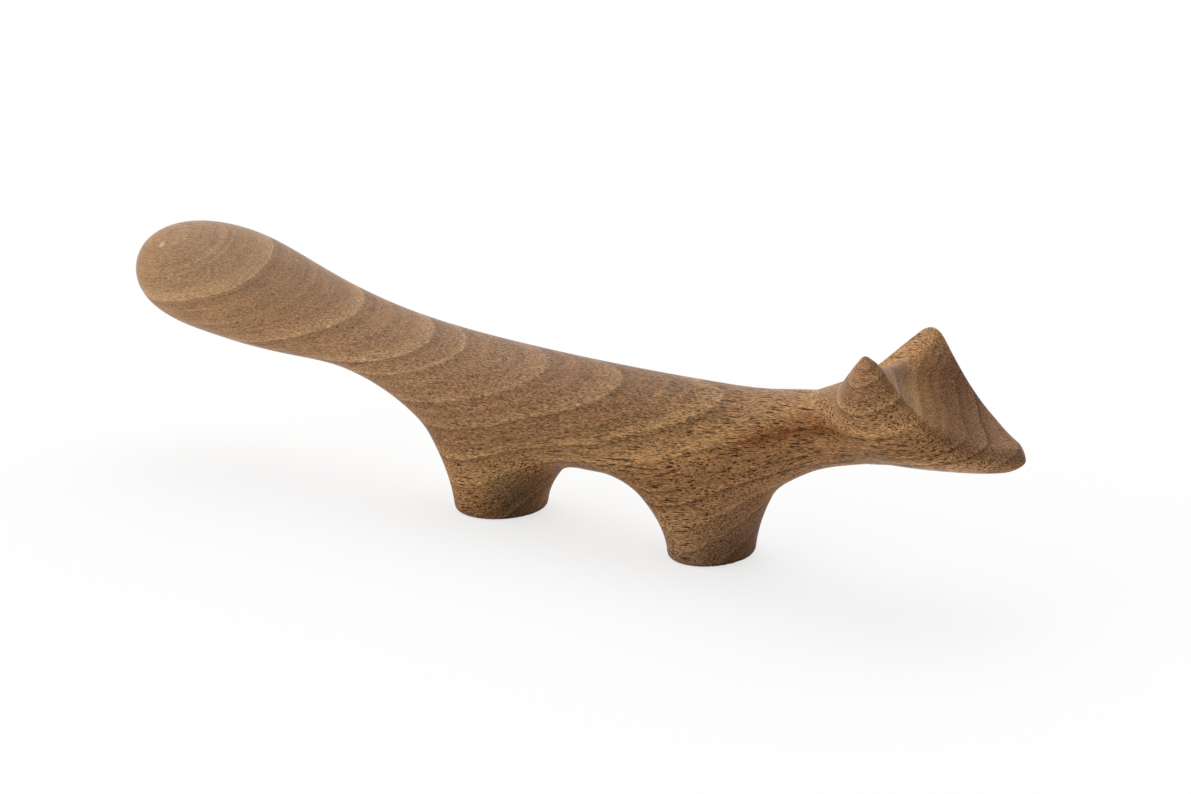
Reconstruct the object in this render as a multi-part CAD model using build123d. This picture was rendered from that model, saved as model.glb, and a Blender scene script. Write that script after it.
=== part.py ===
from build123d import *
from math import cos, pi, radians, sin, sqrt
import os

from scipy.interpolate import CubicSpline

# A fox carved from solid walnut, standing on two broad legs, with a bulb of a tail.
# Millimetres. +X runs from the tail to the nose, +Y is the fox's left and +Z is up.
# The origin is on the ground, halfway between the tip of the tail and the nose.

# Lengths along the fox, one after another from the tip of the tail
tip_to_bulb = 35.5
bulb_to_wrist = 44.0
wrist_to_root = 18.5
root_to_rear_leg = 35.5
rear_leg_to_belly = 35.5
belly_to_front_leg = 35.0
front_leg_to_throat = 27.5
throat_to_neck = 12.0
neck_to_ears = 16.3
ears_to_nose = 36.2

# Heights of the trunk's axis above the ground
tail_tip_height = 53.3
bulb_height = 51.75
wrist_height = 44.2
tail_root_height = 39.9
rump_height = 33.5
belly_height = 32.1
chest_height = 33.2
throat_height = 38.7
neck_height = 42.7

# Radii of the trunk, which is round all along
bulb_radius = 16.5
wrist_radius = 11.8
tail_root_radius = 12.2
rump_radius = 14.9
belly_radius = 15.1
chest_radius = 14.1
throat_radius = 11.5
neck_radius = 10.9
tail_end_fullness = 2.5  # 2 is an ellipse, more is blunter

# Legs: half sizes of the soles, and how far each wall leans out at the flare height
rear_sole_half_length = 12.6
rear_sole_half_width = 14.3
rear_back_flare = 9.0
rear_front_flare = 9.9
front_sole_half_length = 11.1
front_sole_half_width = 13.9
front_back_flare = 12.8
front_front_flare = 6.2
flare_height = 16.5
outer_flare_power = 1.6
inner_flare_power = 1.9
hip_inset = 0.6  # a leg's top lies this far inside the trunk
sole_rounding = 1.2

# Head: the sharp ridge from each ear to the nose, the dished face and the cheeks
nose_height = 42.9
ear_tip_height = 70.7
ear_tip_half_span = 18.4
ear_height = 10.0  # over the brow, before the tip is rounded
jaw_depth = 7.4  # under the nose's height, at the ears
cheek_bulge = 1.9
cheek_drop = 14.0  # the widest place of a cheek, under the ear's tip
least_cheek_drop = 0.4  # as a share of the ring's height
ridge_rounding = 2.8
ridge_rise_power = 1.7
ridge_width_power = 0.43
jaw_power = 0.36
ear_back_power = 0.85
dish_start = 0.45  # share of the way from nose to ears where the face turns hollow
dish_power = 2.8

# Where the members meet
head_behind_neck = 3.5  # the head parts from the body this far behind the neck's narrowest place
ear_over_brow = 1.0  # the ears part from the head this far over the brow

# Layout of the rings that the shapes are drawn through
tail_end_rings = 9
tail_end_turn = 87  # degrees, the last ring before the tip of the tail
trunk_rings = 30
leg_rings = 9
leg_ring_spans = 8
neck_rings = 4
ear_back_rings = 5
face_rings = 13
face_ring_crowding = 1.8  # more sets the rings closer towards the nose
cheek_turns = (0, 35, 65, 90)  # degrees, from the widest place of the cheek down to the jaw
neck_turns = (0, 18, 32, 42, 52, 90, 125, 155, 180)  # the head's points on the round neck
head_spans = (1.0, 1.0, 0.35, 0.35, 1.0, 0.9, 0.8, 0.8)  # spacing of the head's points

bulb_at = tip_to_bulb
wrist_at = bulb_at + bulb_to_wrist
tail_root_at = wrist_at + wrist_to_root
rear_leg_at = tail_root_at + root_to_rear_leg
belly_at = rear_leg_at + rear_leg_to_belly
front_leg_at = belly_at + belly_to_front_leg
throat_at = front_leg_at + front_leg_to_throat
neck_at = throat_at + throat_to_neck
head_cut_at = neck_at - head_behind_neck
ears_at = neck_at + neck_to_ears
nose_at = ears_at + ears_to_nose
brow_height = ear_tip_height - ear_height


def along(at):
    # from a length along the fox to X
    return at - nose_at / 2


trunk_places = [bulb_at, wrist_at, tail_root_at, rear_leg_at, belly_at, front_leg_at, throat_at, neck_at]
trunk_heights = [
    bulb_height,
    wrist_height,
    tail_root_height,
    rump_height,
    belly_height,
    chest_height,
    throat_height,
    neck_height,
]
trunk_radii = [
    bulb_radius,
    wrist_radius,
    tail_root_radius,
    rump_radius,
    belly_radius,
    chest_radius,
    throat_radius,
    neck_radius,
]
axis_height = CubicSpline([0.0] + trunk_places, [tail_tip_height] + trunk_heights, bc_type="natural")
full_radius = CubicSpline(trunk_places, trunk_radii, bc_type=("clamped", "natural"))


def trunk_radius(at):
    if at >= bulb_at:
        return float(full_radius(at))
    from_bulb = (bulb_at - at) / bulb_at
    return bulb_radius * (1 - from_bulb**tail_end_fullness) ** (1 / tail_end_fullness)


def trunk_ring(at):
    ring_plane = Plane((along(at), 0, float(axis_height(at))), x_dir=(0, 1, 0), z_dir=(1, 0, 0))
    return ring_plane * Circle(trunk_radius(at))


def mirrored_ring(half, spans):
    # closed curve through half a ring's points and their mirror images, square to the middle plane
    marks = [sum(spans[:i]) for i in range(len(spans) + 1)]
    first = (0, half[1][1] / spans[0], 0)
    last = (0, -half[-2][1] / spans[-1], 0)
    left = Edge.make_spline(half, tangents=[first, last], parameters=marks, scale=False)
    return Face(Wire([left, left.mirror(Plane.XZ)]))


def make_trunk():
    turns = [radians(tail_end_turn) * (1 - i / tail_end_rings) for i in range(tail_end_rings)]
    end_places = [bulb_at * (1 - sin(turn)) for turn in turns]
    step = (neck_at - bulb_at) / trunk_rings
    long_places = [bulb_at + step * i for i in range(trunk_rings + 1)]
    return loft([trunk_ring(at) for at in end_places + long_places])


def make_leg(at, half_length, half_width, back_flare, back_power, front_flare, front_power):
    top = float(axis_height(at))
    hip_half_width = trunk_radius(at) - hip_inset
    faces = []
    for i in range(leg_rings):
        height = top * i / (leg_rings - 1)
        back = half_length + back_flare * (height / flare_height) ** back_power
        front = half_length + front_flare * (height / flare_height) ** front_power
        middle = along(at) + (front - back) / 2
        reach = (front + back) / 2
        side = half_width + (hip_half_width - half_width) * height / top
        turns = [pi * k / leg_ring_spans for k in range(leg_ring_spans + 1)]
        half = [(middle + reach * cos(turn), side * sin(turn), height) for turn in turns]
        faces.append(mirrored_ring(half, [1.0] * leg_ring_spans))
    leg = loft(faces) - trunk
    return fillet(leg.faces().sort_by(Axis.Z)[0].edges(), sole_rounding)


def head_outline(at):
    # half of a head ring, from the middle of the face round the cheek to the jaw
    share = (nose_at - at) / ears_to_nose
    ridge_z = nose_height + (ear_tip_height - nose_height) * share**ridge_rise_power
    ridge_y = ear_tip_half_span * share**ridge_width_power
    hollow = max(0.0, (share - dish_start) / (1 - dish_start)) ** 2
    face_z = ridge_z - ear_height * hollow
    cheek_y = ridge_y + cheek_bulge * share**2
    jaw_z = nose_height - jaw_depth * share**jaw_power
    cheek_z = ridge_z - max(cheek_drop * share**2, least_cheek_drop * (ridge_z - jaw_z))
    rounding = min(ridge_rounding, ridge_y / 3, (ridge_z - jaw_z) / 4)
    corner = rounding * (1 - sqrt(0.5))

    def face_at(y):
        return face_z + (ridge_z - face_z) * (y / ridge_y) ** dish_power

    inner_y = ridge_y - rounding
    turns = [radians(turn) for turn in cheek_turns]
    return [
        (0, face_z),
        (inner_y / 2, face_at(inner_y / 2)),
        (inner_y, face_at(inner_y)),
        (ridge_y - corner, ridge_z - corner),
        (ridge_y, ridge_z - rounding),
    ] + [(cheek_y * cos(turn), cheek_z - (cheek_z - jaw_z) * sin(turn)) for turn in turns]


def neck_outline(at):
    # the trunk's circle, with points numbered as on the head
    turns = [radians(turn) for turn in neck_turns]
    radius = trunk_radius(at)
    height = float(axis_height(at))
    return [(radius * sin(turn), height + radius * cos(turn)) for turn in turns]


def head_ring(at):
    if at >= ears_at:
        half = head_outline(at)
    else:
        share = max(0.0, (at - neck_at) / neck_to_ears) ** ear_back_power
        pairs = zip(neck_outline(min(at, neck_at)), head_outline(ears_at))
        half = [(a[0] + (b[0] - a[0]) * share, a[1] + (b[1] - a[1]) * share) for a, b in pairs]
    return mirrored_ring([(along(at), y, z) for y, z in half], head_spans)


def make_head():
    behind = [throat_at + throat_to_neck * i / (neck_rings - 1) for i in range(neck_rings)]
    # no ring stands at the very tip of the ears, so the loft rounds them over
    rising = [neck_at + neck_to_ears * (i + 1) / ear_back_rings for i in range(ear_back_rings - 1)]
    shares = [((face_rings - i) / (face_rings + 0.5)) ** face_ring_crowding for i in range(face_rings)]
    falling = [nose_at - ears_to_nose * share for share in shares]
    return loft([head_ring(at) for at in behind + rising + falling])


def across(at):
    return Plane((along(at), 0, 0), x_dir=(0, 1, 0), z_dir=(1, 0, 0))


trunk = make_trunk()
tail = split(trunk, across(tail_root_at), Keep.BOTTOM)
body = split(split(trunk, across(tail_root_at), Keep.TOP), across(head_cut_at), Keep.BOTTOM)
rear_leg = make_leg(
    rear_leg_at,
    rear_sole_half_length,
    rear_sole_half_width,
    rear_back_flare,
    outer_flare_power,
    rear_front_flare,
    inner_flare_power,
)
front_leg = make_leg(
    front_leg_at,
    front_sole_half_length,
    front_sole_half_width,
    front_back_flare,
    inner_flare_power,
    front_front_flare,
    outer_flare_power,
)
whole_head = split(make_head(), across(head_cut_at), Keep.TOP)
ear_plane = Plane.XY.offset(brow_height + ear_over_brow)
head = split(whole_head, ear_plane, Keep.BOTTOM)
right_ear, left_ear = split(whole_head, ear_plane, Keep.TOP).solids().sort_by(Axis.Y)

members = {
    "tail": tail,
    "body": body,
    "rear_leg": rear_leg,
    "front_leg": front_leg,
    "head": head,
    "right_ear": right_ear,
    "left_ear": left_ear,
}
os.makedirs("parts", exist_ok=True)
for name, member in members.items():
    export_step(member, f"parts/{name}.step")
    size = member.bounding_box().size
    print(f"{name}: {member.volume:.0f} mm3, {size.X:.1f} x {size.Y:.1f} x {size.Z:.1f} mm")
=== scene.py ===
import math

import bpy
import numpy as np
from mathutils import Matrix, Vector


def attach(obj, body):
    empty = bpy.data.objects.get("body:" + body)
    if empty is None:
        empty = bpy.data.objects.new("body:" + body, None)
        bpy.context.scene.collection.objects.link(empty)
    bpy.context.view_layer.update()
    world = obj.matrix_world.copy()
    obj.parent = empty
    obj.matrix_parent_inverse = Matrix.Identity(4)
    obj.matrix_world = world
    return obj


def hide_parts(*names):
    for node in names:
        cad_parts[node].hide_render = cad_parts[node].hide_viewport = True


# Walnut fox: one carved skin over the whole figure, drawn in millimetres and put into the mesh in metres
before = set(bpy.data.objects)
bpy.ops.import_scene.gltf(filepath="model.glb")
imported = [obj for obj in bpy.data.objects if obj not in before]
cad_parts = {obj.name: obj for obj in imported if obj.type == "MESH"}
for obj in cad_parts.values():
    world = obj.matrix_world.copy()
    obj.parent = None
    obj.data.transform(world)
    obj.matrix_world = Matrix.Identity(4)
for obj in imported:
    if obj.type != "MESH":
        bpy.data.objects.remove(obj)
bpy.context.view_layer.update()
mm = 0.001
scene = bpy.context.scene

photoCamera = {
    "target": (17.89, 0.0, 37.34),  # mm
    "distance": 770.5,
    "azimuth": 34.71,  # degrees from the fox's right side towards its nose
    "elevation": 16.14,
    "lens": 85.0,
    "sensor": 36.0,
    "clip": (0.05, 50.0),  # m
}


def addCamera(look):
    # outward is the way from the target to the camera
    turn, tilt = math.radians(look["azimuth"]), math.radians(look["elevation"])
    outward = Vector((math.sin(turn) * math.cos(tilt), -math.cos(turn) * math.cos(tilt), math.sin(tilt)))
    data = bpy.data.cameras.new("photoCamera")
    data.lens, data.sensor_width, data.sensor_fit = look["lens"], look["sensor"], "HORIZONTAL"
    data.clip_start, data.clip_end = look["clip"]
    camera = bpy.data.objects.new("photoCamera", data)
    camera.location = (Vector(look["target"]) + outward * look["distance"]) * mm
    camera.rotation_euler = (-outward).to_track_quat("-Z", "Y").to_euler()
    scene.collection.objects.link(camera)
    scene.camera = camera


addCamera(photoCamera)
print("camera set")

# Shape of the carving: a round trunk, two flared legs and a dished head, melted into each other
trunk = {
    "stations": (-112.5, -87.1, -68.5, -50.1, -14.5, 20.9, 56.2, 71.5, 83.5, 95.5, 105.5),
    "heights": (51.3, 47.3, 44.2, 39.9, 33.5, 32.1, 33.2, 35.3, 38.59, 41.91, 44.74),
    "radii": (16.65, 14.1, 11.85, 12.2, 14.9, 15.1, 14.1, 12.87, 11.34, 8.98, 6.42),
    "tip": -147.9, "tipHeight": 52.5, "tipFullness": 2.45,  # 2 is an ellipse, more is blunter
    "endInHead": 14.0,
}
rearLeg = {
    "at": -14.5, "halfLength": 12.6, "halfWidth": 14.3,
    "backFlare": 8.2, "backPower": 1.6, "frontFlare": 9.9, "frontPower": 1.75,
}
frontLeg = {
    "at": 56.1, "halfLength": 11.1, "halfWidth": 13.9,
    "backFlare": 12.8, "backPower": 2.0, "frontFlare": 5.4, "frontPower": 1.6,
}
legs = {
    "flareHeight": 16.5, "flareEnd": 1.9,  # the flare stops at this many flare heights
    "topHeight": 28.0, "topRounding": 4.0, "blend": 5.0, "soleRounding": 1.5,
}
head = {
    # ears and nape
    "earsAt": 112.4, "earHeight": 70.91, "earSpan": 18.18, "earTipRounding": 9.96,
    "earBackSlope": 1.097, "earBackInset": 0.717,
    "napeHeight": 50.27, "napeSlope": 0.23, "napeRounding": 5.3,
    "lean": 0.0103,  # the right ear is carved a little lower
    # nose, and the powers by which the ridges climb and spread from it to the ears
    "nose": 147.59, "noseHeight": 44.66, "noseCap": 4.9, "pointBeyond": 2.51,
    "noseCrown": 0.678, "crownEnd": 0.6, "leastShare": 1e-4, "capEnd": 0.99999,
    "risePower": 2.503, "widthPower": 0.556, "widthSwell": 0.358,
    # hollow of the face
    "browHeight": 61.92, "browRounding": 4.0, "browBackSlope": 0.508,
    "dishStart": 0.35, "dishPower": 2.258, "dishFade": 2.0, "dishEnd": 1.25,
    # cheeks and jaw
    "cheekBulge": 1.166, "cheekDrop": 15.1, "cheekDropStart": 0.1, "leastDrop": 0.26, "cheekEnd": 1.5,
    "jawDepth": 9.187, "jawPower": 0.248,
    "middleShare": 0.35,  # the head's middle line, from the jaw to the face
    # where the head comes out of the neck
    "backAt": 91.5, "backHalfWidth": 8.39, "backCheekHeight": 41.82, "backJawHeight": 34.6,
    "backRounding": 4.82, "neckBlend": 8.0, "leastBlend": 0.15, "blendEnd": 126.0, "blendFade": 20.0,
    # rounding of the ridges, with what is added at the ears and at the nose
    "ridgeRounding": 2.4, "roundingRise": 12.0, "leastRounding": 0.15,
    "earRounding": 0.53, "earReach": 9.22, "noseRounding": 4.58, "noseReach": 0.45,
    # mm, the least that a ring's measures are divided by
    "leastSpan": 0.3, "leastCheek": 0.2, "leastRise": 0.5,
}


def smoothCurve(stations, values, level=False):
    # cubic through the stations, straight or level at the start: the bends solve a banded system
    x, y = np.array(stations), np.array(values)
    gap = np.diff(x)
    count = len(x)
    rows, right, inner = np.eye(count), np.zeros(count), np.arange(1, count - 1)
    rows[inner, inner - 1], rows[inner, inner + 1] = gap[:-1], gap[1:]
    rows[inner, inner] = 2 * (gap[:-1] + gap[1:])
    right[1:-1] = 6 * np.diff(np.diff(y) / gap)
    if level:
        rows[0, :2] = 2 * gap[0], gap[0]
        right[0] = 6 * (y[1] - y[0]) / gap[0]
    bend = np.linalg.solve(rows, right)

    def at(place):
        place = np.clip(place, x[0], x[-1])
        i = np.clip(np.searchsorted(x, place) - 1, 0, count - 2)
        before, after, width = x[i + 1] - place, place - x[i], gap[i]
        curved = (bend[i] * before**3 + bend[i + 1] * after**3) / (6 * width)
        return (curved + (y[i] / width - bend[i] * width / 6) * before
                + (y[i + 1] / width - bend[i + 1] * width / 6) * after)

    return at


def smoothMin(a, b, reach):
    # the lesser of two fields, eased where they differ by less than the reach
    near = np.maximum(reach - np.abs(a - b), 0) / reach
    return np.minimum(a, b) - near * near * reach / 4


def smoothMax(a, b, reach):
    # the greater of two fields, eased the same way
    return -smoothMin(-a, -b, reach)


def trunkCurves(x):
    # height and radius of the trunk: cubics along the fox, rounded off at the tail and inside the head
    t = trunk
    axisHeight = smoothCurve((t["tip"], *t["stations"]), (t["tipHeight"], *t["heights"]))
    fullRadius = smoothCurve(t["stations"], t["radii"], level=True)
    bulb, last = t["stations"][0], t["stations"][-1]
    past = np.clip((bulb - x) / (bulb - t["tip"]), 0, 1)
    beyond = np.clip((x - last) / t["endInHead"], 0, 1)
    tailEnd = (1 - past ** t["tipFullness"]) ** (1 / t["tipFullness"])
    return axisHeight(x), fullRadius(x) * tailEnd * np.sqrt(1 - beyond**2)


def faceCurves(share):
    # ridge height, ridge half span, cheek half width, cheek height and jaw height, by powers of the share
    h = head
    rise = h["noseHeight"] + (h["earHeight"] - h["noseHeight"]) * share ** h["risePower"]
    span = h["earSpan"] * share ** h["widthPower"] * (1 + h["widthSwell"] * share * (1 - share))
    jaw = h["noseHeight"] - h["jawDepth"] * share ** h["jawPower"]
    drop = h["cheekDrop"] * np.clip((share - h["cheekDropStart"]) / (1 - h["cheekDropStart"]), 0, 1) ** 2
    drop = np.maximum(drop, h["leastDrop"] * (rise - jaw))
    return np.stack([rise, span, span + h["cheekBulge"] * share**2, rise - drop, jaw])


def ridgeAndFace(x, share):
    # the ridge climbs to the ears by a power, falls behind them in a line and runs out along the nape
    h = head
    rise = faceCurves(share)[0]
    fall = h["earHeight"] + h["earBackSlope"] * (x - h["earsAt"])
    nape = h["napeHeight"] + h["napeSlope"] * (x - h["backAt"])
    ridge = smoothMin(rise, smoothMax(fall, nape, h["napeRounding"]), h["earTipRounding"])
    # the face sinks below the ridges towards the brow, and the nose is fuller along its middle
    hollow = np.clip((share - h["dishStart"]) / (1 - h["dishStart"]), 0, None) ** h["dishFade"]
    front = rise - (h["earHeight"] - h["browHeight"]) * hollow
    back = h["browHeight"] + h["browBackSlope"] * (x - h["earsAt"])
    crown = h["noseCrown"] * np.clip(1 - (share / h["crownEnd"]) ** 2, 0, 1)
    return ridge, np.minimum(smoothMin(front, back, h["browRounding"]), ridge) + crown


def spanAndCheeks(x, share, reach):
    # behind the ears the span narrows in a line, and cubics lead cheek and jaw on to the neck
    h = head
    span, *sides = faceCurves(np.minimum(share, 1))[1:]
    span = span - h["earBackInset"] * np.maximum(h["earsAt"] - x, 0)
    step = 0.01
    atEars, ahead = faceCurves(np.ones(1))[2:], faceCurves(np.full(1, 1 - step))[2:]
    slopes = (ahead - atEars) / (step * reach)
    length = h["earsAt"] - h["backAt"]
    t = np.clip((x - h["backAt"]) / length, 0, 1)
    starts = np.array([[h["backHalfWidth"]], [h["backCheekHeight"]], [h["backJawHeight"]]])
    leading = starts + (atEars - starts) * t * t * (3 - 2 * t) + slopes * length * t * t * (t - 1)
    return span, *np.where(x < h["earsAt"], leading, sides)


def headCurves(x):
    # share runs from 0 at a point past the nose to 1 at the ears; the nose ends in a quarter of an ellipse
    h = head
    point = h["nose"] + h["pointBeyond"]
    reach = point - h["earsAt"]
    share = np.clip((point - x) / reach, h["leastShare"], None)
    ridge, face = ridgeAndFace(x, share)
    span, cheekHalf, cheek, jaw = spanAndCheeks(x, share, reach)
    atEar = np.clip(1 - np.abs(x - h["earsAt"]) / h["earReach"], 0, 1)
    atNose = np.clip(1 - share / h["noseReach"], 0, 1)
    rounding = h["ridgeRounding"] + h["earRounding"] * atEar**2 + h["noseRounding"] * atNose
    rounding = rounding * np.clip(h["roundingRise"] * share, h["leastRounding"], 1)
    steep = np.gradient(ridge, x)
    middle = h["middleShare"] * face + (1 - h["middleShare"]) * jaw
    intoCap = np.clip((x - h["nose"]) / h["noseCap"] + 1, 0, h["capEnd"])
    return ridge, span, face, cheekHalf, cheek, jaw, rounding, steep, middle, np.sqrt(1 - intoCap**2)


def headField(y, z, curves):
    # under the dish, which climbs from the face to the ridge by a power of the side, and within the cheeks
    h = head
    ridge, span, face, cheekHalf, cheek, jaw, rounding, steep, middle, shrink = curves
    y, z = y / shrink, middle + (z - middle) / shrink  # the nose's cap is the ring before it, shrunk
    side, power = np.abs(y), h["dishPower"]
    wide = np.maximum(span, h["leastSpan"])
    share = np.minimum(side / wide, h["dishEnd"])
    slope = (ridge - face) * power * share ** (power - 1) / wide
    dish = (z - face - (ridge - face) * share**power) / np.sqrt(1 + slope**2 + steep**2)
    low = np.maximum(cheek - jaw, h["leastSpan"])
    oval = np.sqrt((side / np.maximum(cheekHalf, h["leastCheek"])) ** 2 + ((z - cheek) / low) ** 2)
    up = np.clip((z - cheek) / np.maximum(ridge - cheek, h["leastRise"]), 0, h["cheekEnd"])
    wall = side - cheekHalf + (cheekHalf - span) * up**2
    sides = np.where(z < cheek, (oval - 1) * cheekHalf, wall)
    return smoothMax(dish, sides, rounding) * shrink


def legField(x, y, z, leg):
    # an oval column whose back and front lean out by powers of the height
    up = np.clip(z / legs["flareHeight"], 0, legs["flareEnd"])
    back = leg["halfLength"] + leg["backFlare"] * up ** leg["backPower"]
    front = leg["halfLength"] + leg["frontFlare"] * up ** leg["frontPower"]
    reach = (front + back) / 2
    off = x - leg["at"] - (front - back) / 2
    oval = np.sqrt((off / reach) ** 2 + (y / leg["halfWidth"]) ** 2)
    column = (oval - 1) * np.minimum(reach, leg["halfWidth"])
    return smoothMax(column, z - legs["topHeight"], legs["topRounding"])


def foxField(x, y, z, section, curves):
    # below zero inside the wood: the least of trunk, legs and skull, cut off at the ground
    h = head
    height, radius = section
    field = np.sqrt(y * y + (z - height) ** 2) - radius
    for leg in (rearLeg, frontLeg):
        field = smoothMin(field, legField(x, y, z, leg), legs["blend"])
    skull = smoothMax(headField(y, z - h["lean"] * y, curves), h["backAt"] - x, h["backRounding"])
    skull = np.where(x < h["backAt"] - h["neckBlend"], 99.0, skull)  # far away behind the neck
    blend = h["neckBlend"] * np.clip((h["blendEnd"] - x) / h["blendFade"], h["leastBlend"], 1)
    field = smoothMin(field, skull, blend)
    return smoothMax(field, -z, legs["soleRounding"])


carving = {
    "farthest": 60.0,  # mm, longer than any ray from the middle line to the skin
    "march": 80,
    "halvings": 13,
    "headFrom": 104.0, "headFade": 10.0,  # where the trunk's middle line gives way to the head's
    # degrees from the top, and how many steps
    "turnSpans": ((0, 25, 10), (25, 75, 40), (75, 130, 24), (130, 180, 46)),
    # rings that are cast: where each stretch starts or ends, and their spacing or number there
    "tailLength": 28.0, "tailRows": 60, "firstAngle": 0.01, "backStep": 0.5,
    "middleFrom": -50.0, "middleStep": 0.12,
    "neckFrom": 86.0, "neckStep": 0.25,
    "snoutFrom": 136.0, "snoutRows": 90, "lastShare": 0.9995,
    "soleReach": (-0.6, 1.5), "soleStep": 0.04,  # extra rings at both ends of a sole
    "leastRing": 0.1,  # lower rings are left out
    "tailPoint": 0.01, "nosePoint": 0.02,  # the points at the ends stand out this far
    # rows of faces from the tail's tip to each landmark and on to the nose
    "landmarks": (-112.5, -68.5, -50.1, -14.5, 20.9, 56.1, 90.0, 104.0, 112.0),
    "rows": (40, 40, 20, 58, 56, 56, 52, 18, 20, 52),
}


def castRings(x, turns):
    # from the middle line outwards: march to the first step that leaves the wood, then halve
    section, curves = trunkCurves(x), headCurves(x)
    inHead = np.clip((x - carving["headFrom"]) / carving["headFade"], 0, 1)
    middle = section[0] * (1 - inHead) + inHead * curves[-2]  # the head's own middle line
    spread = [np.broadcast_to(a[:, None], (len(x), len(turns))) for a in (x, middle, *section, *curves)]
    along, centre, section, curves = spread[0], spread[1], spread[2:4], spread[4:]
    outY, outZ = np.sin(turns), np.cos(turns)

    def outside(r):
        return foxField(along, r * outY, centre + r * outZ, section, curves) >= 0

    low, high = np.zeros(along.shape), np.full(along.shape, carving["farthest"])
    going = np.ones(along.shape, bool)
    steps = np.linspace(0, carving["farthest"], carving["march"] + 1)
    for near, far in zip(steps[:-1], steps[1:]):
        left = going & outside(far)
        low[left], high[left] = near, far
        going &= ~left
        if not going.any():
            break
    for _ in range(carving["halvings"]):
        half = (low + high) / 2
        out = outside(half)
        low, high = np.where(out, low, half), np.where(out, half, high)
    r = (low + high) / 2
    return np.stack([along, r * outY, centre + r * outZ], -1)


def evenRows(points, marks, rows):
    # between two landmarks every line along the fox is cut into equal lengths
    around = np.arange(points.shape[1])
    step = np.linalg.norm(np.diff(points, axis=0), axis=2)
    length = np.concatenate([np.zeros((1, points.shape[1])), np.cumsum(step, axis=0)])
    places = [length[:1]]
    for start, end, count in zip(marks[:-1], marks[1:], rows):
        share = (np.arange(count) + 1)[:, None] / count
        places.append(length[start] + (length[end] - length[start]) * share)
    places = np.concatenate(places)
    apart = around * 1e4  # keeps the lines from mixing, so that one search serves all
    found = np.searchsorted((length + apart).T.ravel(), (places + apart).T.ravel(), side="right")
    found = found.reshape(places.shape[::-1]).T - around * len(points)
    found = np.clip(found, 1, len(points) - 1)
    a, b = length[found - 1, around[None]], length[found, around[None]]
    share = ((places - a) / np.maximum(b - a, 1e-9))[..., None]
    return points[found - 1, around[None]] * (1 - share) + points[found, around[None]] * share


def ringPlaces():
    # closest at the soles' ends, and towards the tail's tip and the nose by a cosine and a square
    c = carving
    angles = np.linspace(c["firstAngle"], np.pi / 2, c["tailRows"])
    tail = trunk["tip"] + c["tailLength"] * (1 - np.cos(angles))
    back = np.arange(tail[-1] + c["backStep"], c["middleFrom"], c["backStep"])
    middle = np.arange(c["middleFrom"], c["neckFrom"], c["middleStep"])
    neck = np.arange(c["neckFrom"], c["snoutFrom"], c["neckStep"])
    shares = np.linspace(0, c["lastShare"], c["snoutRows"])
    snout = head["nose"] - (head["nose"] - c["snoutFrom"]) * (1 - shares) ** 2
    sole = np.arange(*c["soleReach"], c["soleStep"])
    soles = [leg["at"] + way * leg["halfLength"] + sole
             for leg in (rearLeg, frontLeg) for way in (-1, 1)]
    places = np.concatenate([tail, back, middle, neck, snout, *soles, c["landmarks"]])
    return np.unique(np.round(places, 4))


def skinMesh(rings, first, last):
    # four corners between neighbours on two rings, and a fan to the point at each end
    count, around = rings.shape[:2]
    vertices = np.concatenate([rings.reshape(-1, 3), first[None], last[None]]) * mm
    row, column = np.meshgrid(np.arange(count - 1) * around, np.arange(around), indexing="ij")
    beside, ahead = (column + 1) % around, row + around
    quads = np.stack([row + column, ahead + column, ahead + beside, row + beside], -1)
    here, onward = np.arange(around), (np.arange(around) + 1) % around
    base = (count - 1) * around
    tailFan = np.stack([np.full(around, count * around), here, onward], -1)
    noseFan = np.stack([np.full(around, count * around + 1), base + onward, base + here], -1)
    faces = quads.reshape(-1, 4).tolist() + tailFan.tolist() + noseFan.tolist()
    mesh = bpy.data.meshes.new("foxCarving")
    mesh.from_pydata(vertices.tolist(), [], faces)
    mesh.polygons.foreach_set("use_smooth", np.ones(len(mesh.polygons), bool))
    mesh.update()
    print("carving:", len(vertices), "points,", len(faces), "faces")
    return mesh


def carveFox():
    # rings cast all along the fox, closed at both ends and cut again into even rows
    c = carving
    half = np.concatenate([np.linspace(a, b, n, endpoint=False) for a, b, n in c["turnSpans"]])
    turns = np.radians(np.concatenate([half, 360 - np.append(half, 180)[:0:-1]]))
    points = castRings(ringPlaces(), turns)
    wide = np.linalg.norm(points[:, 0, 1:] - points[:, len(half), 1:], axis=1) > c["leastRing"]
    points = points[wide]
    first, last = points[0].mean(0), points[-1].mean(0)
    first[0] -= c["tailPoint"]
    last[0] += c["nosePoint"]
    ends = [np.broadcast_to(end, (1, len(turns), 3)) for end in (first, last)]
    points = np.concatenate([ends[0], points, ends[1]])
    marks = [0, *np.searchsorted(points[:, 0, 0], c["landmarks"]), len(points) - 1]
    grid = evenRows(points, marks, c["rows"])
    piece = bpy.data.objects.new("foxCarving", skinMesh(grid[1:-1], first, last))
    scene.collection.objects.link(piece)
    return piece


foxCarving = carveFox()


class Socket:
    # a shader output that can stand in a sum: each sign adds a Math node
    def __init__(self, graph, link):
        self.graph, self.link = graph, link

    def math(self, kind, a, b):
        return self.graph.node("ShaderNodeMath", {"operation": kind}, {0: a, 1: b})

    def __add__(self, other):
        return self.math("ADD", self, other)

    __radd__ = __add__

    def __sub__(self, other):
        return self.math("SUBTRACT", self, other)

    def __rsub__(self, other):
        return self.math("SUBTRACT", other, self)

    def __mul__(self, other):
        return self.math("MULTIPLY", self, other)

    __rmul__ = __mul__

    def __truediv__(self, other):
        return self.math("DIVIDE", self, other)

    def __rtruediv__(self, other):
        return self.math("DIVIDE", other, self)


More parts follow.
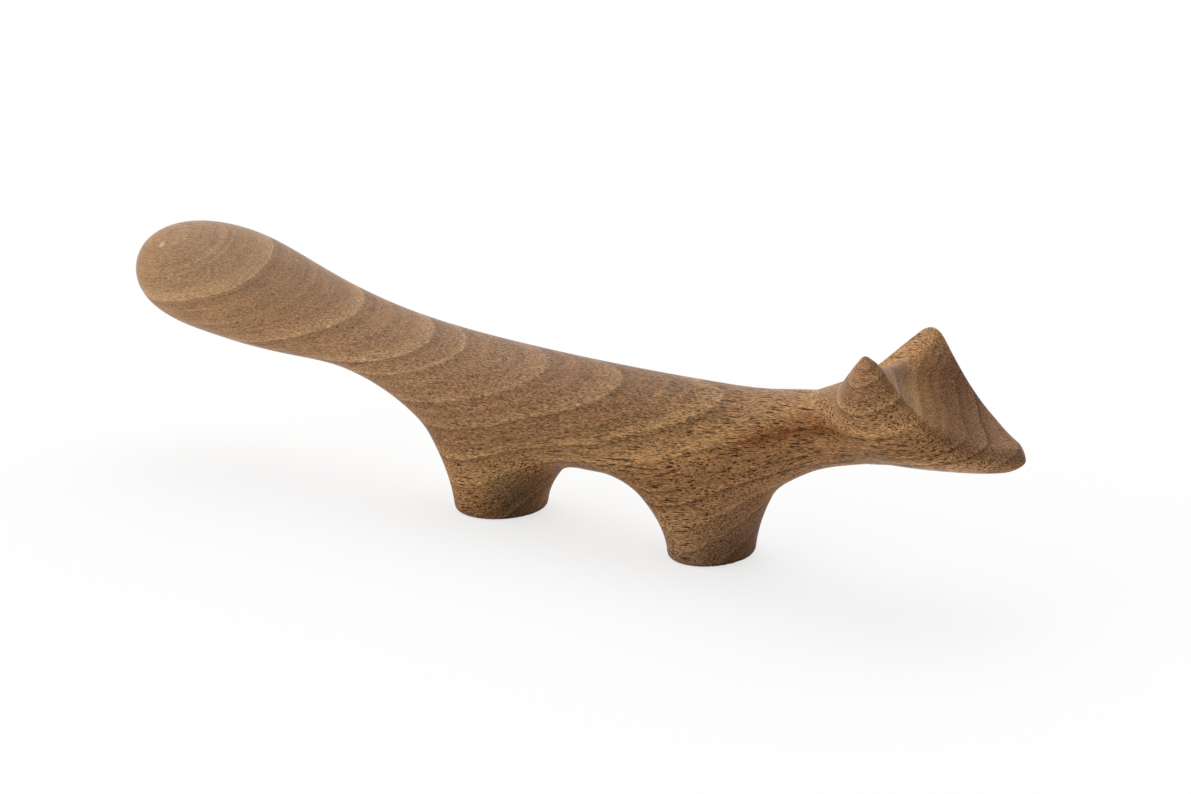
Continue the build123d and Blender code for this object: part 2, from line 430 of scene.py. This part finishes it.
class Graph:
    # the node tree of one finish
    def __init__(self, tree):
        self.tree = tree
        tree.nodes.clear()

    def node(self, kind, settings=None, sockets=None, out=0):
        made = self.tree.nodes.new(kind)
        for key, value in (settings or {}).items():
            if key == "stops":
                self.setStops(made.color_ramp.elements, value)
            else:
                setattr(made, key, value)
        for key, value in (sockets or {}).items():
            if isinstance(value, Socket):
                self.tree.links.new(value.link, made.inputs[key])
            else:
                made.inputs[key].default_value = value
        return Socket(self, made.outputs[out]) if made.outputs else made

    def setStops(self, elements, stops):
        while len(elements) < len(stops):
            elements.new(1.0)
        for element, (place, colour) in zip(elements, stops):
            element.position, element.color = place, (*colour, 1.0)

    def vector(self, kind, a, b, out=0):
        return self.node("ShaderNodeVectorMath", {"operation": kind}, {0: a, 1: b}, out)

    def dot(self, a, b):
        return self.vector("DOT_PRODUCT", a, b, 1)

    def noise(self, vector, size, detail=2.0, roughness=0.5, out=0):
        sockets = {"Vector": self.vector("DIVIDE", vector, size), "Scale": 1.0}
        sockets.update({"Detail": detail, "Roughness": roughness})
        return self.node("ShaderNodeTexNoise", {}, sockets, out)

    def cells(self, vector, size, out):
        sockets = {"Vector": self.vector("DIVIDE", vector, size), "Scale": 1.0}
        return self.node("ShaderNodeTexVoronoi", {}, sockets, out)

    def fade(self, value, start, end):
        # 0 up to the start, 1 from the end on
        sockets = {"Value": value, "From Min": start, "From Max": end}
        return self.node("ShaderNodeMapRange", {"interpolation_type": "SMOOTHSTEP"}, sockets)

    def absolute(self, value):
        return self.node("ShaderNodeMath", {"operation": "ABSOLUTE"}, {0: value})

    def larger(self, a, b):
        return self.node("ShaderNodeMath", {"operation": "MAXIMUM"}, {0: a, 1: b})

    def blend(self, kind, share, a, b):
        settings = {"data_type": "RGBA", "blend_type": kind}
        return self.node("ShaderNodeMix", settings, {0: share, 6: a, 7: b}, 2)


def newMaterial(name):
    material = bpy.data.materials.new(name)
    material.use_nodes = True
    return material, Graph(material.node_tree)


# Walnut: nearly flat growth layers tilted to the fox, dark pores and streaks along the fibres, in mm
walnut = {
    # a point's layer is z + slope * (x, y) + bow * y * y, bent by a slow noise and frayed by a quick one
    "layerSlope": (-0.307, -0.563), "layerBow": 0.0023,
    "waveSize": (60.0, 26.0, 26.0), "wave": 2.5,
    "fringeSize": (3.0, 0.5, 0.5), "fringe": 1.3,
    # where the layers dip: centre and half sizes of an oval, and how far
    "dips": (
        ((108.0, -18.0, 65.0), (14.0, 10.0, 13.0), 3.0),
        ((133.0, 3.0, 50.0), (22.0, 20.0, 16.0), 3.6),
    ),
    "fibre": (1.0, -0.08, 0.184),  # the way the fibres run
    "swaySize": (30.0, 14.0, 14.0), "sway": (0.0, 5.0, 5.0),  # how they wander
    # layers where one ramp of colours hands over to the next, and how far on both sides
    "partings": (-34.0, 11.3, 52.0, 116.0), "handover": 0.5,
    # a growth border's layer, how much lighter the wood is over it and darker under it, and both widths
    "rings": (
        (-24.0, 0.12, 0.12, 3.0, 3.0), (-13.0, 0.16, 0.16, 3.0, 3.0), (-5.0, 0.18, 0.20, 3.0, 2.0),
        (1.5, 0.22, 0.18, 2.0, 2.0), (8.8, 0.14, 0.50, 2.0, 1.4), (13.2, 0.14, 0.28, 2.0, 1.4),
        (22.5, 0.20, 0.14, 3.0, 2.0), (30.2, 0.46, 0.24, 2.6, 2.0), (39.9, 0.36, 0.20, 3.0, 2.5),
        (47.7, 0.34, 0.18, 3.0, 2.5), (57.8, 0.36, 0.18, 1.8, 1.6), (62.4, 0.44, 0.22, 3.2, 2.0),
        (74.0, 0.38, 0.18, 4.0, 3.0), (84.0, 0.18, 0.08, 1.5, 1.5), (94.6, 0.40, 0.16, 4.5, 3.0),
    ),
    # half of a border's edge, and where in its width the lighter wood has faded to what share
    "edgeHalf": 0.15, "fadeAt": 0.4, "fadeTo": 0.55,
    "liftTint": (0.92, 1.12, 1.10),  # the lighter wood is creamier
    # the wood between the borders, from the lowest layer to the highest
    "plain": (
        (-34.0, (0.215, 0.114, 0.064)), (-10.0, (0.266, 0.149, 0.085)), (4.0, (0.368, 0.196, 0.090)),
        (11.0, (0.300, 0.153, 0.068)), (15.0, (0.276, 0.139, 0.060)), (19.0, (0.300, 0.149, 0.062)),
        (23.5, (0.400, 0.216, 0.094)), (27.5, (0.338, 0.182, 0.082)), (36.0, (0.284, 0.150, 0.071)),
        (46.0, (0.312, 0.168, 0.087)), (60.0, (0.342, 0.194, 0.102)), (72.0, (0.376, 0.213, 0.113)),
        (90.0, (0.364, 0.206, 0.106)), (104.0, (0.420, 0.254, 0.138)), (116.0, (0.420, 0.266, 0.154)),
    ),
    "coarse": (10.0, 110.0),  # between these layers the grain goes from coarse to fine
    # light and dark along the fibres: size, strength in fine wood, and how much more in coarse wood
    "streaks": {"size": (14.0, 0.55, 0.55), "detail": 3.0, "roughness": 0.65, "fine": 0.5, "more": 0.8},
    "flecks": {"size": (1.3, 0.27, 0.27), "detail": 1.0, "roughness": 0.5, "fine": 1.5, "more": 1.5},
    "mottle": {"size": (12.0, 4.0, 4.0), "strength": 0.35},
    "rows": {"thick": 1.3, "detail": 3.0, "roughness": 0.6, "strength": 0.5},
    # oval patches of painted shade and painted light: centre, half sizes, and what the colour is
    # multiplied by
    "paintedShadeAndLight": (
        # painted shade with a bluish cast in the hollow between the ears
        ((110.0, -3.0, 60.0), (10.0, 10.0, 6.0), (0.76, 0.75, 0.92)),  # between the ears
        # painted light with a whitish sheen on the inside of the left ear
        ((114.0, 15.0, 64.0), (12.0, 9.0, 10.0), (1.26, 1.28, 1.48)),  # inside of the left ear
        # painted light, pale, along the underside of the jaw, as if lit from the floor below
        ((127.0, -10.0, 40.0), (18.0, 9.0, 5.0), (1.24, 1.36, 1.48)),  # along the jaw
        # painted shade on the front of the rear leg, which faces the front leg
        ((-3.0, -9.0, 7.0), (10.0, 11.0, 13.0), (0.72, 0.83, 0.92)),  # front of the rear leg
    ),
    # a reddish streak along one layer on the right of the neck
    "neckStreak": {
        "layer": 22.0, "reach": (0.8, 4.0), "start": (62.0, 78.0), "end": (98.0, 114.0),
        "side": (-10.0, -5.0), "tint": (0.62, 0.50, 0.43),
    },
    # the dished face is darker and bluer, partly the wood's own darker tone and partly painted shade with
    # a painted lilac sheen, with few pores: it lies between the ridges and over a floor, both curved
    "face": {
        "earsAt": 112.0, "halfSpan": 18.3, "spanBend": 0.0105, "edge": (0.3, 2.5),
        "start": (106.0, 113.0), "nose": 147.0, "floorBend": 0.0138, "floor": (40.5, 43.0),
        "layers": (13.0, 22.0), "tint": (0.80, 0.82, 0.98),
    },
    "largePores": {
        "size": (10.0, 0.60, 0.60), "edge": (0.25, 0.34), "chosen": (0.05, 0.30),
        "layers": (22.0, 46.0), "high": 0.12, "more": 0.78, "lessOnFace": 0.8, "groove": 0.7,
    },
    "finePores": {
        "size": (2.6, 0.34, 0.34), "edge": (0.20, 0.34),
        "fine": 0.3, "more": 0.7, "dark": 0.6, "groove": 0.3,
    },
    "poreColour": (0.022, 0.011, 0.006),
    # a pale pin knot on the tail
    "knot": {
        "centre": (-131.4, -11.7, 62.8), "half": (1.9, 1.9, 1.4),
        "colour": (0.66, 0.47, 0.31), "share": 0.85,
    },
    "roughness": 0.62, "mottledRoughness": 0.16,
    "bump": 0.3, "bumpDepth": 0.0001,  # m
    "sheen": 0.35, "sheenRoughness": 0.3,
    # the oil shines on the back, over a line that rises from the belly to both ends, as far as the neck
    "oil": {"belly": 15.0, "bend": 0.00105, "edge": (35.0, 47.0), "end": (88.0, 100.0)},
    "coat": 0.45, "coatRoughness": 0.55,
}


def walnutStops(low, high):
    # five stops a border: plain, darker up to the edge, lighter past it, nearly as light, plain again
    w = walnut
    places, colours = zip(*w["plain"])
    edge = w["edgeHalf"]
    ramp = []
    for border, lift, drop, over, under in w["rings"]:
        if not low <= border < high:
            continue
        fading = (w["fadeAt"] * over, w["fadeTo"] * lift)
        for off, gain in ((-under, 0), (-edge, -drop), (edge, lift), fading, (over, 0)):
            plain = [float(np.interp(border + off, places, channel)) for channel in zip(*colours)]
            gains = [1 + gain * (tint if gain > 0 else 1) for tint in w["liftTint"]]
            ramp.append(((border + off - low) / (high - low), [g * c for g, c in zip(gains, plain)]))
    return ramp


def spot(g, point, centre, half, core=0.3):
    # 1 in the core of an oval patch, fading to 0 at its edge
    off = g.vector("DIVIDE", g.vector("SUBTRACT", point, centre), half)
    return 1 - g.fade(g.vector("LENGTH", off, (0, 0, 0), 1), core, 1.0)


def grainAndLayer(g, point, side):
    # the point measured along the fibres and across them, swayed by noise, and the layer that it lies in
    w = walnut
    climb = Vector((*w["layerSlope"], 1.0))
    fibre = Vector(w["fibre"]).normalized()
    across = climb.cross(fibre).normalized()
    lines = [g.dot(point, axis) for axis in (fibre, across, fibre.cross(across))]
    straight = g.node("ShaderNodeCombineXYZ", {}, dict(enumerate(lines)))
    sway = g.vector("SUBTRACT", g.noise(point, w["swaySize"], out=1), (0.5, 0.5, 0.5))
    grain = g.vector("ADD", straight, g.vector("MULTIPLY", sway, w["sway"]))
    wave = g.noise(point, w["waveSize"]) - 0.5
    fringe = g.noise(grain, w["fringeSize"]) - 0.5
    layer = g.dot(point, climb) + w["layerBow"] * side * side + w["wave"] * wave + w["fringe"] * fringe
    for centre, half, depth in w["dips"]:
        layer = layer + depth * spot(g, point, centre, half)
    return grain, layer


def layerColour(g, layer):
    # one ramp after another up the layers, each fading in over the last
    colour, partings, near = None, walnut["partings"], walnut["handover"]
    for low, high in zip(partings[:-1], partings[1:]):
        share = (layer - low) / (high - low)
        ramp = g.node("ShaderNodeValToRGB", {"stops": walnutStops(low, high)}, {0: share})
        colour = g.blend("MIX", g.fade(layer, low - near, low + near), colour, ramp) if colour else ramp
    return colour


def woodTone(g, grain, layer, coarse, mottle):
    # 1 plus the noises along the fibres, each less its mean and times its strength
    w = walnut
    tone = 1.0
    for kind in (w["streaks"], w["flecks"]):
        noise = g.noise(grain, kind["size"], kind["detail"], kind["roughness"])
        tone = tone + (kind["fine"] + kind["more"] * coarse) * (noise - 0.5)
    thin = w["rows"]
    deep = {"W": layer / thin["thick"], "Scale": 1.0}
    deep.update({"Detail": thin["detail"], "Roughness": thin["roughness"]})
    rows = g.node("ShaderNodeTexNoise", {"noise_dimensions": "1D"}, deep)
    tone = tone + w["mottle"]["strength"] * (mottle - 0.5) + thin["strength"] * (rows - 0.5)
    return g.node("ShaderNodeCombineColor", {}, {0: tone, 1: tone, 2: tone})


def onNeckStreak(g, layer, ahead, side):
    # near one layer, from the start to the end, and only on the right
    s = walnut["neckStreak"]
    onLayer = 1 - g.fade(g.absolute(layer - s["layer"]), *s["reach"])
    onNeck = onLayer * g.fade(ahead, *s["start"]) * (1 - g.fade(ahead, *s["end"]))
    return onNeck * (1 - g.fade(side, *s["side"]))


def onFace(g, ahead, side, up):
    # the span shrinks and the floor rises by the square of the way from the ears and from the nose
    f = walnut["face"]
    fromEars, fromNose = ahead - f["earsAt"], f["nose"] - ahead
    inRidges = g.fade(f["halfSpan"] - f["spanBend"] * fromEars * fromEars - g.absolute(side), *f["edge"])
    overFloor = g.fade(up - f["floorBend"] * fromNose * fromNose, *f["floor"])
    return inRidges * g.fade(ahead, *f["start"]) * overFloor


def poreMasks(g, grain, layer, coarse, face):
    # long cells along the fibres: large ones picked at random, most in the lower layers, and fine ones
    p, f = walnut["largePores"], walnut["finePores"]
    chosen = g.node("ShaderNodeSeparateColor", {}, {0: g.cells(grain, p["size"], 1)})
    large = (1 - g.fade(g.cells(grain, p["size"], 0), *p["edge"])) * g.fade(chosen, *p["chosen"])
    fine = (1 - g.fade(g.cells(grain, f["size"], 0), *f["edge"])) * (f["fine"] + f["more"] * coarse)
    depth = p["high"] + p["more"] * (1 - g.fade(layer, *p["layers"]))
    return large * depth * (1 - p["lessOnFace"] * face), fine


def walnutFinish():
    # the layers' colour times tone and tints, some of them painted shade and painted light, under pores
    # and knot, with a coat on the back
    w = walnut
    material, g = newMaterial("oiledWalnut")
    place = g.node("ShaderNodeTexCoord", {}, {}, "Object")
    point = g.vector("MULTIPLY", place, (1 / mm, 1 / mm, 1 / mm))
    ahead, side, up = (g.dot(point, axis) for axis in ((1, 0, 0), (0, 1, 0), (0, 0, 1)))
    grain, layer = grainAndLayer(g, point, side)
    coarse = 1 - g.fade(layer, *w["coarse"])
    mottle = g.noise(grain, w["mottle"]["size"])
    face = onFace(g, ahead, side, up)

    colour = g.blend("MULTIPLY", 1.0, layerColour(g, layer), woodTone(g, grain, layer, coarse, mottle))
    # oval patches of painted shade and painted light, the neck's own reddish streak, and the face's
    # painted shade and sheen over its darker wood
    tints = [(spot(g, point, centre, half), tint) for centre, half, tint in w["paintedShadeAndLight"]]
    tints.append((onNeckStreak(g, layer, ahead, side), w["neckStreak"]["tint"]))
    # painted shade and a painted lilac sheen on the face, over the wood's own darker tone, fading out in
    # the upper layers
    tints.append((face * (1 - g.fade(layer, *w["face"]["layers"])), w["face"]["tint"]))
    for share, tint in tints:
        colour = g.blend("MULTIPLY", share, colour, (*tint, 1.0))

    pores, fine = poreMasks(g, grain, layer, coarse, face)
    knot = w["knot"]
    inKnot = knot["share"] * spot(g, point, knot["centre"], knot["half"])
    colour = g.blend("MIX", pores, colour, (*w["poreColour"], 1.0))
    colour = g.blend("MIX", w["finePores"]["dark"] * fine, colour, (*w["poreColour"], 1.0))
    colour = g.blend("MIX", inKnot, colour, (*knot["colour"], 1.0))

    height = 1 - w["largePores"]["groove"] * pores - w["finePores"]["groove"] * fine
    bump = {"Strength": w["bump"], "Distance": w["bumpDepth"], "Height": height}
    oil = w["oil"]
    fromBelly = ahead - oil["belly"]
    onBack = g.fade(up - oil["bend"] * fromBelly * fromBelly, *oil["edge"])
    oiled = onBack * (1 - g.fade(ahead, *oil["end"]))
    shader = g.node("ShaderNodeBsdfPrincipled", {}, {
        "Base Color": colour,
        "Roughness": w["roughness"] + w["mottledRoughness"] * mottle,
        "Normal": g.node("ShaderNodeBump", {}, bump),
        "Specular IOR Level": 0.0,
        "Sheen Weight": w["sheen"], "Sheen Roughness": w["sheenRoughness"],
        "Coat Weight": w["coat"] * oiled, "Coat Roughness": w["coatRoughness"],
    })
    g.node("ShaderNodeOutputMaterial", {}, {"Surface": shader})
    return material


foxCarving.data.materials.append(walnutFinish())
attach(foxCarving, "root")
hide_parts("tail", "body", "rear_leg", "front_leg", "head", "right_ear", "left_ear")
print("walnut finish on")

studio = {
    "floorHalf": 4.0,  # m
    "floorColour": (0.95, 0.95, 0.95), "floorRoughness": 0.9,
    "floorWhite": 0.7,  # share of plain white that the floor shows to the camera over its own shading
    "dim": 0.01,
    # soft lights of the dome: degrees anticlockwise from the nose's direction, degrees up, and strength
    "lights": ((120.0, 50.0, 2.5), (226.0, 9.0, 2.25)),
}


def seenDirectly(g):
    # 1 for rays from the camera and for those that a shiny or clear surface sends on
    kinds = ("Is Camera Ray", "Is Glossy Ray", "Is Transmission Ray")
    camera, shiny, clear = (g.node("ShaderNodeLightPath", {}, {}, kind) for kind in kinds)
    return g.larger(g.larger(camera, shiny), clear)


def addFloor():
    s = studio["floorHalf"]
    mesh = bpy.data.meshes.new("studioFloor")
    mesh.from_pydata([(-s, -s, 0), (s, -s, 0), (s, s, 0), (-s, s, 0)], [], [(0, 1, 2, 3)])
    floor = bpy.data.objects.new("studioFloor", mesh)
    scene.collection.objects.link(floor)
    material, g = newMaterial("paleFloor")
    shader = g.node("ShaderNodeBsdfPrincipled", {}, {
        "Base Color": (*studio["floorColour"], 1.0),
        "Roughness": studio["floorRoughness"],
        "Specular IOR Level": 0.0,
    })
    white = g.node("ShaderNodeEmission", {}, {"Color": (1, 1, 1, 1), "Strength": 1.0})
    share = studio["floorWhite"] * seenDirectly(g)
    lit = g.node("ShaderNodeMixShader", {}, {0: share, 1: shader, 2: white})
    g.node("ShaderNodeOutputMaterial", {}, {"Surface": lit})
    mesh.materials.append(material)


def setWorld():
    # a dome with two broad lights that fade by the cube of the cosine; to the camera it is white
    world = bpy.data.worlds.new("studioWorld")
    scene.world = world
    world.use_nodes = True
    g = Graph(world.node_tree)
    way = g.node("ShaderNodeTexCoord", {}, {}, "Generated")
    glow = studio["dim"]
    for turn, rise, strength in studio["lights"]:
        turn, rise = math.radians(turn), math.radians(rise)
        centre = (math.cos(turn) * math.cos(rise), math.sin(turn) * math.cos(rise), math.sin(rise))
        facing = g.larger(g.dot(way, centre), 0.0)
        glow = glow + strength * facing * facing * facing
    seen = seenDirectly(g)
    sky = g.node("ShaderNodeBackground", {}, {"Color": (1, 1, 1, 1), "Strength": glow * (1 - seen) + seen})
    g.node("ShaderNodeOutputWorld", {}, {"Surface": sky})


addFloor()
setWorld()
scene.view_settings.view_transform = "Standard"
print("studio set")
